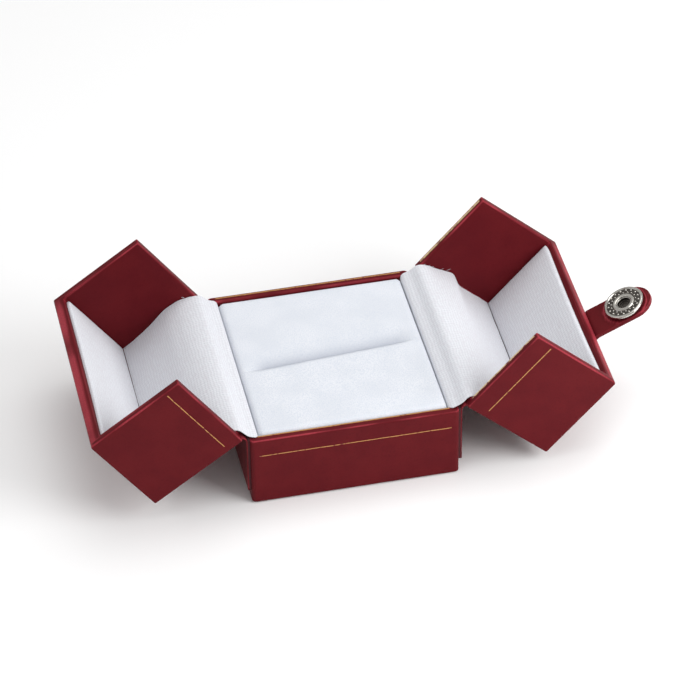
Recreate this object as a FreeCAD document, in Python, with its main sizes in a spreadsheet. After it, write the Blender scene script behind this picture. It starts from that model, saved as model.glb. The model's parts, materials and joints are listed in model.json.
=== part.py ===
import FreeCAD, Part
import math
import os
import re

import Sketcher

# A double-door jewellery gift box. A square tray holds a ring pad, and two half covers are hinged
# on its left and right sides, so that they meet over the pad. A strap with a snap fastener closes
# the box. The frame is +X right, +Y back, +Z up, with the origin under the middle of the tray, on
# the surface that it stands on. Every door piece is laid out in its closed place and then swung
# open about its hinge, so that the sizes of a door read straight off the closed box.

DIMENSIONS = {
    # tray
    "base_width": 50.0,
    "base_depth": 55.2,
    "base_height": 19.0,
    "board": 1.4,              # grey board of every wall but the door tops
    "cover": 0.3,              # leatherette that wraps the boards
    "turn_in": 6.0,            # how far the leatherette is folded in over an edge
    "base_corner": 1.2,        # upright corners of the tray
    "rim_round": 0.25,
    "underside_sheet": 0.3,
    "underside_inset": 1.5,
    # doors
    "door_height": 26.25,
    "door_depth": 55.8,
    "door_overhang": 0.35,     # a closed door stands out past the tray's side by this much
    "seam_gap": 1.1,           # between the two closed doors
    "rim_gap": 0.4,            # between the rim and a closed door
    "top_board": 2.4,
    "door_round": 0.4,
    # hinges
    "axis_out": 1.2,           # fold line of the hinge, out from the tray's side
    "axis_up": 0.3,            # and up from its rim
    "right_open": 132.4,
    "left_open": 125.6,
    "hinge_card": 0.5,
    "hinge_leather": 0.3,
    "hinge_inset": 1.0,        # hinge strip short of the tray's depth, each end
    "hinge_bottom": 3.5,
    "hinge_door_reach": 16.0,
    "fold_clearance": 0.2,
    # ring pad
    "insert_card": 1.0,
    "velvet": 0.5,
    "pad_side_gap": 0.3,
    "pad_end_gap": 0.1,
    "pad_round": 1.4,
    "front_crown": 0.2,        # front half stands above the rim
    "back_sink": 0.1,          # back half lies below the rim
    "slit_gap": 0.4,
    "slit_place": -0.7,
    "slit_skew": 4.3,
    # white lining
    "lining": 0.2,
    "lining_inset": 1.4,       # lining short of the inner depth, each end
    "lining_tuck": 7.0,
    "lining_swell": 2.5,
    "lining_edge": 0.6,
    "top_lining": 0.8,
    "top_lining_inset": 0.6,
    # gold foil
    "foil": 0.05,
    "foil_line": 0.35,
    "foil_drop": 4.9,          # line below the tray's rim
    "right_foil_rise": 4.9,    # line above a door's lower edge
    "left_foil_rise": 3.9,
    "foil_end": 2.0,
    "foil_edge": 0.8,
    # snap strap
    "strap_width": 9.8,
    "strap_layer": 0.5,
    "strap_place": -4.7,       # middle of the strap, front to back
    "strap_root": 12.0,
    "strap_angle": 22.5,       # the strap's bend up from the door's top
    "strap_tip": 1.65,         # from the snap's centre to the centre of the round end
    "snap_margin": 0.05,       # socket's foot clear of the strap's fold
    "seat_gap": 0.05,          # between the closed socket and the stud's flange
    "socket_height": 1.4,
    "socket_radius": 5.0,
    "socket_foot_radius": 4.0,
    "socket_foot": 0.35,
    "socket_groove": 0.7,
    "socket_waist": 0.25,
    "socket_mouth_radius": 1.85,
    "socket_lip": 0.3,
    "spring_wire": 0.15,
    "spring_catch": 0.08,      # the ring spring is held in by this much
    "cap_radius": 4.0,
    "cap_rim": 0.3,
    "cap_dome": 0.8,
    "cap_post_radius": 1.2,
    "post_clearance": 0.05,
    "stud_flange": 0.35,
    "stud_flange_radius": 4.2,
    "stud_clearance": 0.13,    # stud's head inside the socket's mouth
    "neck_clearance": 0.18,    # stud's neck inside the ring spring
    "head_room": 0.1,
    "stud_post_radius": 1.3,
    "stud_post_flange_radius": 2.6,
    "stud_post_flange": 0.25,
}

# Places that several pieces share, worked out from the sizes above.
DERIVED = {
    "half_width": "base_width / 2",
    "half_depth": "base_depth / 2",
    "wall": "board + 2 * cover",
    "inner_x": "half_width - wall",
    "inner_y": "half_depth - wall",
    "wall_bottom": "underside_sheet + cover",
    "tray_floor": "wall_bottom + board",
    "axis_x": "half_width + axis_out",
    "axis_z": "base_height + axis_up",
    "hinge_face": "half_width + hinge_card",
    "hinge_half": "half_depth - hinge_inset",
    "door_outer": "half_width + door_overhang",
    "door_seam": "seam_gap / 2",
    "door_bottom": "base_height + rim_gap",
    "door_top": "door_bottom + door_height",
    "door_half": "door_depth / 2",
    "door_inner_x": "door_outer - cover - board",
    "door_inner_y": "door_half - wall",
    "ceiling": "door_top - cover - top_board",
    "pad_x": "inner_x - pad_side_gap",
    "pad_y": "inner_y - pad_end_gap",
    "pad_floor": "tray_floor + insert_card",
    "lining_half": "inner_y - lining_inset",
    "lining_face": "door_inner_x - cover",
    "lining_low": "door_bottom + lining_edge",
    "lining_high": "ceiling - cover - top_lining - lining_edge",
    "lining_chord": "lining_high - lining_low",
    "lining_radius": "(lining_chord * lining_chord / 4 + lining_swell * lining_swell)"
                     " / (2 * lining_swell)",
    "strap_lift": "stud_flange + seat_gap + socket_height",
    "stub": "strap_lift / sin(strap_angle * 1 deg)",
    "stub_x": "door_seam - stub * cos(strap_angle * 1 deg)",
    "stub_z": "door_top + strap_layer + strap_lift",
    "strap_fold_gap": "strap_layer / 2",
    "snap_place": "socket_foot_radius + strap_fold_gap + snap_margin",
    "stud_x": "stub_x - snap_place",
    "chamber_radius": "socket_mouth_radius + socket_lip",
    "spring_radius": "socket_mouth_radius + spring_catch - spring_wire",
    "stud_height": "socket_height - socket_foot - head_room",
    "stud_head_radius": "socket_mouth_radius - stud_clearance",
    "stud_neck_radius": "spring_radius - spring_wire - neck_clearance",
}

EXPRESSION_WORDS = ("deg", "sin", "cos", "tan")
NAME_PATTERN = re.compile(r"\b[a-z][a-z_]*\b")
SIDES = {"right": 1, "left": -1}
STILL = "placement(vector(0; 0; 0); rotation(vector(0; 1; 0); 0))"


def bound(text):
    """The expression that FreeCAD reads, with every name here followed down to the sheet."""
    def swap(match):
        name = match.group(0)
        if name in EXPRESSION_WORDS:
            return name
        if name in DERIVED:
            return "(" + NAME_PATTERN.sub(swap, DERIVED[name]) + ")"
        return "Dims." + name
    return NAME_PATTERN.sub(swap, text)


def shifted(x, y, z, turn_axis="0; 1; 0", turn="0"):
    return (f"placement(vector({bound(x)}; {bound(y)}; {bound(z)}); "
            f"rotation(vector({turn_axis}); {bound(turn)}))")


def swing(side):
    """The turn that carries a closed door to its open rest place."""
    sign = SIDES[side]
    return (f"placement(vector(0; 0; 0); rotation(vector(0; {sign}; 0); {bound(side + '_open')}); "
            f"vector({sign} * {bound('axis_x')}; 0; {bound('axis_z')}))")


def across(side, near, far):
    """A span in X that is given for the right side, mirrored for the left."""
    if SIDES[side] > 0:
        return near, far
    return f"-({far})", f"-({near})"


doc = FreeCAD.newDocument("GiftBox")
sheet = doc.addObject("Spreadsheet::Sheet", "Dims")
for row, (alias, value) in enumerate(DIMENSIONS.items(), 1):
    sheet.set(f"A{row}", alias)
    sheet.set(f"B{row}", str(value))
    sheet.setAlias(f"B{row}", alias)
doc.recompute()

sub_parts = []


def kept(obj, label):
    """Marks a document object as a sub-part, which gets a file of its own."""
    obj.Label = label
    sub_parts.append(obj)
    return obj


def block(name, x, y, z, at=STILL):
    """A box between three pairs of expressions."""
    box = doc.addObject("Part::Box", name)
    for size, (low, high) in zip(("Length", "Width", "Height"), (x, y, z)):
        box.setExpression(size, bound(f"({high}) - ({low})"))
    box.setExpression("Placement", f"{at} * {shifted(x[0], y[0], z[0])}")
    return box


def rod(name, radius, length, place):
    cylinder = doc.addObject("Part::Cylinder", name)
    cylinder.setExpression("Radius", bound(radius))
    cylinder.setExpression("Height", bound(length))
    cylinder.setExpression("Placement", place)
    return cylinder


def joined(name, shapes):
    fuse = doc.addObject("Part::MultiFuse", name)
    fuse.Shapes = shapes
    return fuse


def cut(name, base, tools):
    result = doc.addObject("Part::Cut", name)
    result.Base = base
    result.Tool = tools[0] if len(tools) == 1 else joined(name + "_tools", tools)
    return result


def outline(body, name, role, corners):
    """A closed sketch whose corners are held at bound distances from the body's origin."""
    sketch = body.newObject("Sketcher::SketchObject", name)
    plane = [f for f in body.Origin.OriginFeatures if f.Role == role][0]
    sketch.AttachmentSupport = [(plane, "")]
    sketch.MapMode = "FlatFace"
    count = len(corners)
    ring = [FreeCAD.Vector(math.cos(2 * math.pi * i / count), math.sin(2 * math.pi * i / count), 0)
            for i in range(count)]
    for i in range(count):
        sketch.addGeometry(Part.LineSegment(ring[i], ring[(i + 1) % count]))
    for i in range(count):
        sketch.addConstraint(Sketcher.Constraint("Coincident", i, 2, (i + 1) % count, 1))
    for i, (across_text, up_text) in enumerate(corners):
        for kind, text, start in (("DistanceX", across_text, ring[i].x),
                                  ("DistanceY", up_text, ring[i].y)):
            index = sketch.addConstraint(Sketcher.Constraint(kind, -1, 1, i, 1, start))
            sketch.renameConstraint(index, f"{kind}_{i}")
            sketch.setExpression(f"Constraints.{kind}_{i}", bound(text))
    return sketch


def prism(name, role, corners, length, place):
    """A body padded from an outline, along the normal of its sketch plane."""
    body = doc.addObject("PartDesign::Body", name)
    sketch = outline(body, name + "_outline", role, corners)
    pad = body.newObject("PartDesign::Pad", name + "_pad")
    pad.Profile = sketch
    pad.setExpression("Length", bound(length))
    body.setExpression("Placement", place)
    doc.recompute()
    return body


def turned(name, corners, place):
    """A body of revolution about its own Z axis, from (radius, height) corners."""
    body = doc.addObject("PartDesign::Body", name)
    sketch = outline(body, name + "_outline", "XZ_Plane", corners)
    turn = body.newObject("PartDesign::Revolution", name + "_turn")
    turn.Profile = sketch
    turn.ReferenceAxis = (sketch, ["V_Axis"])
    turn.Angle = 360.0
    body.setExpression("Placement", place)
    doc.recompute()
    return body


def rounded(body, name, radius, chosen):
    """Fillets the edges of a body's tip for which chosen(edge) holds."""
    tip = body.Tip
    edges = [f"Edge{i}" for i, edge in enumerate(tip.Shape.Edges, 1) if chosen(edge)]
    fillet = body.newObject("PartDesign::Fillet", name)
    fillet.Base = (tip, edges)
    fillet.setExpression("Radius", bound(radius))
    doc.recompute()
    return body


def runs_along_z(edge):
    box = edge.BoundBox
    return box.ZLength > box.XLength + box.YLength


def lies_on_top(body):
    top = body.Tip.Shape.BoundBox.ZMax

    def chosen(edge):
        return edge.BoundBox.ZMin > top - 0.001
    return chosen


def rectangle(x, y):
    return ((x[0], y[0]), (x[1], y[0]), (x[1], y[1]), (x[0], y[1]))


def both_ways(half):
    return f"-({half})", half


# ---------------------------------------------------------------- tray

def make_tray():
    wide, deep = both_ways("half_width - cover"), both_ways("half_depth - cover")
    kept(block("underside", both_ways("half_width - underside_inset"),
               both_ways("half_depth - underside_inset"), ("0", "underside_sheet")),
         "underside_sheet")
    floor = prism("floor_board", "XY_Plane", rectangle(wide, deep), "board",
                  shifted("0", "0", "wall_bottom"))
    rounded(floor, "floor_corners", "base_corner - cover", runs_along_z)
    kept(floor, "base_floor_board")
    walls = [floor]
    for label, sign in (("front", -1), ("back", 1)):
        outer, inner = f"{sign} * (half_depth - cover)", f"{sign} * (inner_y + cover)"
        span = (outer, inner) if sign < 0 else (inner, outer)
        wall = prism(label + "_wall", "XY_Plane", rectangle(wide, span),
                     "base_height - cover - tray_floor", shifted("0", "0", "tray_floor"))

        def outer_corner(edge, side=sign):
            return runs_along_z(edge) and edge.CenterOfMass.y * side > outer_line
        outer_line = max(abs(wall.Shape.BoundBox.YMin), abs(wall.Shape.BoundBox.YMax)) - 0.001
        rounded(wall, label + "_wall_corners", "base_corner - cover", outer_corner)
        walls.append(kept(wall, f"base_{label}_board"))
    for side in SIDES:
        wall = block(side + "_wall", across(side, "inner_x + cover", "half_width - cover"),
                     both_ways("inner_y + cover"), ("tray_floor", "base_height - cover"))
        walls.append(kept(wall, f"base_{side}_board"))

    # The leatherette wraps the outside, folds over the rim into the tray and under its floor.
    wrap = prism("tray_block", "XY_Plane",
                 rectangle(both_ways("half_width"), both_ways("half_depth")),
                 "base_height - underside_sheet", shifted("0", "0", "underside_sheet"))
    rounded(wrap, "tray_corners", "base_corner", runs_along_z)
    rounded(wrap, "tray_rim", "rim_round", lies_on_top(wrap))
    above_rim = "base_height + board"
    cavity = block("tray_cavity", both_ways("inner_x"), both_ways("inner_y"),
                   ("tray_floor", above_rim))
    below_turn_in = block("tray_below_turn_in", both_ways("inner_x + cover"),
                          both_ways("inner_y + cover"), ("tray_floor", "base_height - turn_in"))
    window = block("underside_window", both_ways("half_width - turn_in"),
                   both_ways("half_depth - turn_in"), ("0", "wall_bottom"))
    kept(cut("tray_cover", wrap, [cavity, below_turn_in, window] + walls), "base_cover")


def make_ring_pad():
    kept(block("insert", both_ways("pad_x"), both_ways("pad_y"), ("tray_floor", "pad_floor")),
         "insert_card")
    for label, sign, top in (("front", -1, "base_height + front_crown"),
                             ("back", 1, "base_height - back_sink")):
        def half_outline(inset):
            x, end = f"pad_x - {inset}", f"{sign} * (pad_y - {inset})"
            rise = f"({x}) * tan(slit_skew * 1 deg)"
            slit = f"slit_place + {sign} * (slit_gap / 2 + {inset})"
            return ((f"-({x})", end), (x, end), (x, f"{slit} + {rise}"),
                    (f"-({x})", f"{slit} - {rise}"))
        foam = prism(f"{label}_foam", "XY_Plane", half_outline("velvet"),
                     f"{top} - velvet - pad_floor", shifted("0", "0", "pad_floor"))
        rounded(foam, f"{label}_foam_edges", "pad_round - velvet", lies_on_top(foam))
        kept(foam, f"pad_foam_{label}")
        skin = prism(f"{label}_velvet_block", "XY_Plane", half_outline("0"),
                     f"{top} - pad_floor", shifted("0", "0", "pad_floor"))
        rounded(skin, f"{label}_velvet_edges", "pad_round", lies_on_top(skin))
        kept(cut(f"{label}_velvet", skin, [foam]), f"pad_velvet_{label}")


def make_tray_foil():
    ends = both_ways("half_width - foil_end")
    for label, sign in (("front", -1), ("back", 1)):
        near, far = f"{sign} * half_depth", f"{sign} * (half_depth + foil)"
        span = (far, near) if sign < 0 else (near, far)
        kept(block(f"{label}_foil", ends, span,
                   ("base_height - foil_drop", "base_height - foil_drop + foil_line")),
             f"foil_line_base_{label}")
    on_rim = ("base_height", "base_height + foil")
    kept(block("front_rim_foil", ends, ("-inner_y - foil_edge", "-inner_y"), on_rim),
         "foil_rim_front")
    kept(block("back_rim_foil", ends,
               ("half_depth - rim_round - foil_edge", "half_depth - rim_round"), on_rim),
         "foil_rim_back")


def make_hinge(side):
    """One side's hinge: a leatherette strip over a card on the tray, its fold, and its other
    half on the door. The fold runs along the hinge axis and stays with the tray."""
    sign = SIDES[side]
    deep = both_ways("hinge_half")
    kept(block(side + "_hinge_card", across(side, "half_width", "hinge_face"), deep,
               ("hinge_bottom", "base_height")), f"hinge_card_{side}")
    outer = "hinge_face + hinge_leather"
    fold = (("hinge_face", "hinge_bottom"), (outer, "hinge_bottom"),
            (outer, "base_height - 2 * hinge_leather"),
            ("axis_x + hinge_leather / 2", "axis_z - hinge_leather / 2"),
            ("axis_x", "axis_z + hinge_leather / 2"),
            ("axis_x - hinge_leather", "axis_z"),
            ("hinge_face", "base_height"))
    corners = [(f"{sign} * ({x})", z) for x, z in fold]
    leather = prism(side + "_hinge_leather", "XZ_Plane", corners, "2 * hinge_half",
                    shifted("0", "hinge_half", "0"))
    kept(leather, f"hinge_leather_{side}")
    kept(block(side + "_door_leather",
               across(side, "door_outer", "door_outer + hinge_leather"), deep,
               ("door_bottom + fold_clearance", "door_bottom + hinge_door_reach"), swing(side)),
         f"hinge_leather_{side}_door")


def make_lining(side):
    """White cloth: tucked beside the pad and over the rim, swelling off the door's side panel,
    and drawn over a card under the door's top panel."""
    deep = both_ways("lining_half")
    tuck = block(side + "_tuck", across(side, "pad_x + lining / 4", "pad_x + lining * 5 / 4"),
                 deep, ("base_height - lining_tuck", "base_height + lining"))
    over = block(side + "_over_rim",
                 across(side, "pad_x + lining / 4", "hinge_face"), deep,
                 ("base_height", "base_height + lining"))
    kept(joined(side + "_tucked_cloth", [tuck, over]), f"lining_tuck_{side}")

    sign = SIDES[side]
    panel = block(side + "_cloth_space", across(side, "lining_face - lining_swell", "lining_face"),
                  deep, ("lining_low", "lining_high"), swing(side))
    centre_x = f"{sign} * (lining_face - lining_swell + lining_radius)"
    swell = rod(side + "_cloth_swell", "lining_radius", "2 * lining_half",
                f"{swing(side)} * "
                + shifted(centre_x, "lining_half", "(lining_low + lining_high) / 2",
                          "1; 0; 0", "90"))
    cloth = doc.addObject("Part::Common", side + "_side_cloth")
    cloth.Base = panel
    cloth.Tool = swell
    kept(cloth, f"side_lining_{side}")
    kept(block(side + "_top_card",
               across(side, "door_seam + top_lining_inset", "lining_face - lining"),
               both_ways("door_inner_y - lining"),
               ("ceiling - cover - top_lining", "ceiling - cover"), swing(side)),
         f"top_lining_{side}")


def make_door(side):
    """One half cover: four boards in one leatherette cover, open to the seam and to the tray."""
    at = swing(side)
    boards = []
    board_height = ("door_bottom + cover", "door_top - cover")
    wall_x = across(side, "door_seam + cover", "door_outer - cover")
    for label, sign in (("front", -1), ("back", 1)):
        outer, inner = f"{sign} * (door_half - cover)", f"{sign} * (door_inner_y + cover)"
        span = (outer, inner) if sign < 0 else (inner, outer)
        boards.append(kept(block(f"{side}_{label}_wall", wall_x, span, board_height, at),
                           f"{side}_{label}_board"))
    between = both_ways("door_inner_y + cover")
    boards.append(kept(block(side + "_side_wall", across(side, "door_inner_x",
                                                         "door_outer - cover"),
                             between, board_height, at), f"{side}_side_board"))
    top = block(side + "_top_wall", across(side, "door_seam + cover", "door_inner_x"), between,
                ("ceiling", "door_top - cover"), at)

    wrap = prism(side + "_door_block", "XY_Plane",
                 rectangle(across(side, "door_seam", "door_outer"), both_ways("door_half")),
                 "door_height", f"{at} * {shifted('0', '0', 'door_bottom')}")
    rounded(wrap, side + "_door_edges", "door_round", lambda edge: True)
    beyond = "door_seam - board"
    below = "door_bottom - board"
    clear_y = both_ways("door_inner_y")
    hollow = [
        block(side + "_hollow", across(side, beyond, "lining_face"), clear_y,
              (below, "ceiling - cover"), at),
        block(side + "_side_recess", across(side, "door_seam + turn_in", "door_inner_x"), clear_y,
              ("door_bottom + turn_in", "ceiling"), at),
    ]
    if side == "left":
        hole = rod("stud_hole", "stud_post_radius + post_clearance", "top_board + 2 * cover",
                   f"{at} * " + shifted("stud_x", "strap_place", "ceiling - cover"))
        washer_room = rod("stud_washer_room", "stud_post_flange_radius + post_clearance", "cover",
                          f"{at} * " + shifted("stud_x", "strap_place", "ceiling - cover"))
        boards.append(kept(cut("left_top_drilled", top, [hole]), "left_top_board"))
        hollow += [hole, washer_room]
    else:
        boards.append(kept(top, "right_top_board"))
    kept(cut(side + "_door_cover", wrap, hollow + boards), f"{side}_cover")


def make_door_foil(side):
    at = swing(side)
    rise = f"door_bottom + {side}_foil_rise"
    line_x = across(side, "door_seam + foil_end / 2", "door_outer - foil_end")
    for label, sign in (("front", -1), ("back", 1)):
        near, far = f"{sign} * door_half", f"{sign} * (door_half + foil)"
        span = (far, near) if sign < 0 else (near, far)
        kept(block(f"{side}_{label}_foil", line_x, span, (rise, f"{rise} + foil_line"), at),
             f"foil_line_{side}_{label}")
    if side == "right":
        edge_z = ("door_bottom - foil", "door_bottom")
        kept(block("right_front_edge_foil", line_x,
                   ("-door_inner_y - foil_edge", "-door_inner_y"), edge_z, at),
             "foil_edge_right_front")
        kept(block("right_back_edge_foil", line_x,
                   ("door_half - door_round - foil_edge", "door_half - door_round"), edge_z, at),
             "foil_edge_right_back")


# ---------------------------------------------------------------- snap strap

def make_strap_root():
    """The glued end of the strap on the right door's top, with the stub that rises past its
    edge and stops just short of the line that the loose end bends about."""
    place = f"{swing('right')} * {shifted('0', 'strap_place + strap_width / 2', '0')}"
    lean_x, lean_z = "sin(strap_angle * 1 deg)", "cos(strap_angle * 1 deg)"
    middle = "door_top + strap_layer"
    end_x, end_z = f"stub_x + strap_fold_gap * {lean_z}", f"stub_z - strap_fold_gap * {lean_x}"
    for label, low, high in (("inner", "-strap_layer", "0"), ("outer", "0", "strap_layer")):
        corners = (
            ("door_seam + strap_root", f"{middle} + {low}"),
            (f"door_seam + ({low}) * {lean_x}", f"{middle} + {low}"),
            (f"{end_x} + ({low}) * {lean_x}", f"{end_z} + ({low}) * {lean_z}"),
            (f"{end_x} + ({high}) * {lean_x}", f"{end_z} + ({high}) * {lean_z}"),
            (f"door_seam + ({high}) * {lean_x}", f"{middle} + {high}"),
            ("door_seam + strap_root", f"{middle} + {high}"),
        )
        root = prism(f"strap_root_{label}_body", "XZ_Plane", corners, "strap_width", place)
        kept(root, f"strap_root_{label}")


def make_strap():
    """The loose end, in its own frame: X out along the strap, Z to its outer face, with the
    origin on the bend line. At rest it runs straight on from the stub."""
    at = (f"{swing('right')} * {shifted('stub_x', 'strap_place', 'stub_z', '0; 1; 0', 'strap_angle')}"
          f" * {shifted('0', '0', '0', '0; 0; 1', '180')}")
    tip = "snap_place + strap_tip"
    snap = "snap_place"
    half = both_ways("strap_width / 2")
    for label, low, high in (("inner", "-strap_layer", "0"), ("outer", "0", "strap_layer")):
        run = block(f"strap_{label}_run", ("strap_fold_gap", tip), half,
                    (low, high), at)
        end = rod(f"strap_{label}_end", "strap_width / 2", "strap_layer",
                  f"{at} * {shifted(tip, '0', low)}")
        hole = rod(f"strap_{label}_hole", "cap_post_radius + post_clearance", "strap_layer",
                   f"{at} * {shifted(snap, '0', low)}")
        kept(cut(f"strap_{label}_layer", joined(f"strap_{label}_blank", [run, end]), [hole]),
             f"strap_{label}")

    centre = f"{at} * {shifted(snap, '0', '0')}"
    foot = "-strap_layer - socket_foot"
    waist = f"{foot} - socket_waist"
    face = "-strap_layer - socket_height"
    lip = f"{face} + socket_lip"
    socket = turned("socket_body", (
        ("cap_post_radius + post_clearance", "-strap_layer"),
        ("socket_foot_radius", "-strap_layer"), ("socket_foot_radius", foot),
        ("socket_foot_radius - socket_groove", foot), ("socket_foot_radius - socket_groove", waist),
        ("socket_radius", waist), ("socket_radius", lip),
        ("socket_radius - socket_waist", face), ("socket_mouth_radius", face),
        ("socket_mouth_radius", lip), ("chamber_radius", lip),
        ("chamber_radius", foot), ("cap_post_radius + post_clearance", foot)), centre)
    kept(socket, "snap_socket")

    spring = doc.addObject("Part::Torus", "spring_ring")
    spring.setExpression("Radius1", bound("spring_radius"))
    spring.setExpression("Radius2", bound("spring_wire"))
    spring.setExpression("Placement",
                         f"{centre} * {shifted('0', '0', lip + ' + spring_wire')}")
    kept(spring, "snap_spring")

    cap = turned("cap_body", (
        ("0", foot), ("cap_post_radius", foot), ("cap_post_radius", "strap_layer"),
        ("cap_radius", "strap_layer"), ("cap_radius", "strap_layer + cap_rim"),
        ("cap_radius * 0.8", "strap_layer + cap_dome * 0.8"),
        ("cap_radius * 0.4", "strap_layer + cap_dome"), ("0", "strap_layer + cap_dome")), centre)
    kept(cap, "snap_cap")


def make_stud():
    """The other half of the snap, riveted through the left door's top."""
    at = swing("left")
    head = "stud_flange + stud_height"
    neck_top = f"{head} - stud_flange * 0.6"
    stud = turned("stud_body", (
        ("0", "0"), ("stud_flange_radius", "0"), ("stud_flange_radius", "stud_flange * 0.5"),
        ("stud_flange_radius - stud_flange * 0.5", "stud_flange"),
        ("stud_neck_radius", "stud_flange"), ("stud_neck_radius", neck_top),
        ("stud_head_radius", f"{neck_top} + stud_flange * 0.2"),
        ("stud_head_radius - stud_flange * 0.4", head), ("0", head)),
        f"{at} * {shifted('stud_x', 'strap_place', 'door_top')}")
    kept(stud, "snap_stud")
    stem = rod("stud_stem", "stud_post_radius", "top_board + cover",
               f"{at} * {shifted('stud_x', 'strap_place', 'ceiling')}")
    washer = rod("stud_washer", "stud_post_flange_radius", "stud_post_flange",
                 f"{at} * {shifted('stud_x', 'strap_place', 'ceiling - stud_post_flange')}")
    kept(joined("stud_rivet", [stem, washer]), "snap_stud_post")


make_tray()
make_ring_pad()
make_tray_foil()
for side_name in SIDES:
    make_hinge(side_name)
    make_lining(side_name)
    make_door(side_name)
    make_door_foil(side_name)
make_strap_root()
make_strap()
make_stud()
doc.recompute()

for obj in doc.Objects:
    if "Invalid" in obj.State or "Error" in obj.State:
        raise RuntimeError(f"{obj.Label} did not rebuild: {obj.State}")
for obj in sub_parts:
    if obj.Shape.isNull() or not obj.Shape.isValid() or obj.Shape.Volume <= 0:
        raise RuntimeError(f"{obj.Label} has no sound solid")

os.makedirs("parts", exist_ok=True)
for obj in sub_parts:
    obj.Shape.exportStep(f"parts/{obj.Label}.step")
    print(f"{obj.Label:26s} {obj.Shape.Volume:10.2f} mm3  {len(obj.Shape.Solids)} solid")
print(len(sub_parts), "sub-parts")
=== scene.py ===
import json
import math
import random

import bmesh
import bpy
from mathutils import Matrix, Quaternion, Vector, noise


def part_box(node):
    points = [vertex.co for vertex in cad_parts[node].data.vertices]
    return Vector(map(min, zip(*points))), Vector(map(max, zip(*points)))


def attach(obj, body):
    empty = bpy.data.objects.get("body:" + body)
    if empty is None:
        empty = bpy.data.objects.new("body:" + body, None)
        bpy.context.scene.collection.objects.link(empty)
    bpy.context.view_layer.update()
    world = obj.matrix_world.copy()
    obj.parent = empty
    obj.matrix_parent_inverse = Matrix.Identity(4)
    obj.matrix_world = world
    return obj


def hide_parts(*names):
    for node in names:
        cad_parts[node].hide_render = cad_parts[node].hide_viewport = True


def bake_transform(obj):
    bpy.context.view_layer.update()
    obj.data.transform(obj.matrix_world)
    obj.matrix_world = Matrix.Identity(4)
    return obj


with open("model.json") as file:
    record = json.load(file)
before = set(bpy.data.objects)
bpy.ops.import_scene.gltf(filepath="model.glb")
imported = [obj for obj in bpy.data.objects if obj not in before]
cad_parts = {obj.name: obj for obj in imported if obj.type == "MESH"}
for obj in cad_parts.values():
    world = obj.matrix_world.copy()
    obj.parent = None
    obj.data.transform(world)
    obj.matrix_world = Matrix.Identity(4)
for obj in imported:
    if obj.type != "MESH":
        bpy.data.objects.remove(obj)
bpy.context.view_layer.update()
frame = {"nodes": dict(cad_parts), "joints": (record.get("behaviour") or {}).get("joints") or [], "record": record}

# The looks of a double-door jewellery gift box: leatherette over grey board, a white velvet ring
# pad, white ribbed cloth inside the doors, gold foil lines and a nickel snap on a strap. A door's
# pieces are made in its closed place, where they are square to the axes, and then swung open.

MM = 0.001
WRAP = 0.3 * MM                 # leatherette and its glue
SIDES = {"right": 1, "left": -1}
JOINTS = {joint["name"]: joint for joint in frame["joints"]}
STRAP_LAYER = 0.5 * MM          # each of the strap's two layers of backed leatherette


# ---------------------------------------------------------------- places, from the frame

def opening(side):
    """The turn that carries a closed door to its open rest place."""
    joint = JOINTS[f"{side}_hinge"]
    pivot = Matrix.Translation(joint["pos_m"])
    turn = Matrix.Rotation(math.radians(-joint["range_deg"][0]), 4, Vector(joint["axis"]))
    return pivot @ turn @ pivot.inverted()


def opened(side, x, z):
    """Where a place in a closed door comes to when it is open, in a slice across the hinge. Both
    are as if for the right side."""
    point = opening(side) @ Vector((SIDES[side] * x, 0, z))
    return Vector((SIDES[side] * point.x, 0, point.z))


def closed_box(node, side):
    """A door node's lowest and highest corner with the door closed."""
    closing = opening(side).inverted()
    points = [closing @ vertex.co for vertex in frame["nodes"][node].data.vertices]
    corners = [pick(point[i] for point in points) for pick in (min, max) for i in range(3)]
    return Vector(corners[:3]), Vector(corners[3:])


def span(node, origin, direction):
    """How far a node reaches along a direction, from an origin."""
    reach = [(vertex.co - origin).dot(direction) for vertex in frame["nodes"][node].data.vertices]
    return min(reach), max(reach)


def mirrored(side, low, high):
    """A box turned over between the right side and the left. On the right it stays as it is."""
    if SIDES[side] > 0:
        return Vector(low), Vector(high)
    return Vector((-high[0], low[1], low[2])), Vector((-low[0], high[1], high[2]))


# ---------------------------------------------------------------- workshop

def deselect():
    bpy.ops.object.select_all(action="DESELECT")


def alone(piece):
    deselect()
    piece.select_set(True)
    bpy.context.view_layer.objects.active = piece


def settle(piece, place=Matrix.Identity(4)):
    """Puts a piece in its place and applies it, so that its object sits at the origin."""
    alone(piece)
    piece.matrix_world = place @ piece.matrix_world
    bpy.ops.object.transform_apply(location=True, rotation=True, scale=True)
    return piece


def block(name, low, high):
    low, high = Vector(low), Vector(high)
    deselect()
    bpy.ops.mesh.primitive_cube_add(size=1, location=(low + high) / 2, scale=high - low)
    bpy.context.object.name = name
    return settle(bpy.context.object)


def cloth_blank(name, along, across):
    """A flat grid from -1 to 1 both ways, with a UV map, ready to be laid."""
    deselect()
    bpy.ops.mesh.primitive_grid_add(x_subdivisions=along, y_subdivisions=across, size=2)
    bpy.context.object.name = name
    return bpy.context.object


def choose(piece, kind, wanted=lambda element: True):
    """Opens a piece for editing, with the elements selected for which wanted(element) holds."""
    alone(piece)
    bpy.ops.object.mode_set(mode="EDIT")
    bpy.ops.mesh.select_mode(type=kind)
    bpy.ops.mesh.select_all(action="DESELECT")
    shape = bmesh.from_edit_mesh(piece.data)
    for element in {"VERT": shape.verts, "EDGE": shape.edges, "FACE": shape.faces}[kind]:
        if wanted(element):
            element.select_set(True)
    bmesh.update_edit_mesh(piece.data)


def close():
    bpy.ops.object.mode_set(mode="OBJECT")


def finished_with(piece, kind, **settings):
    """Adds a modifier with its settings and applies it."""
    alone(piece)
    modifier = piece.modifiers.new(kind, kind)
    for key, value in settings.items():
        setattr(modifier, key, value)
    bpy.ops.object.modifier_apply(modifier=modifier.name)


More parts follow.
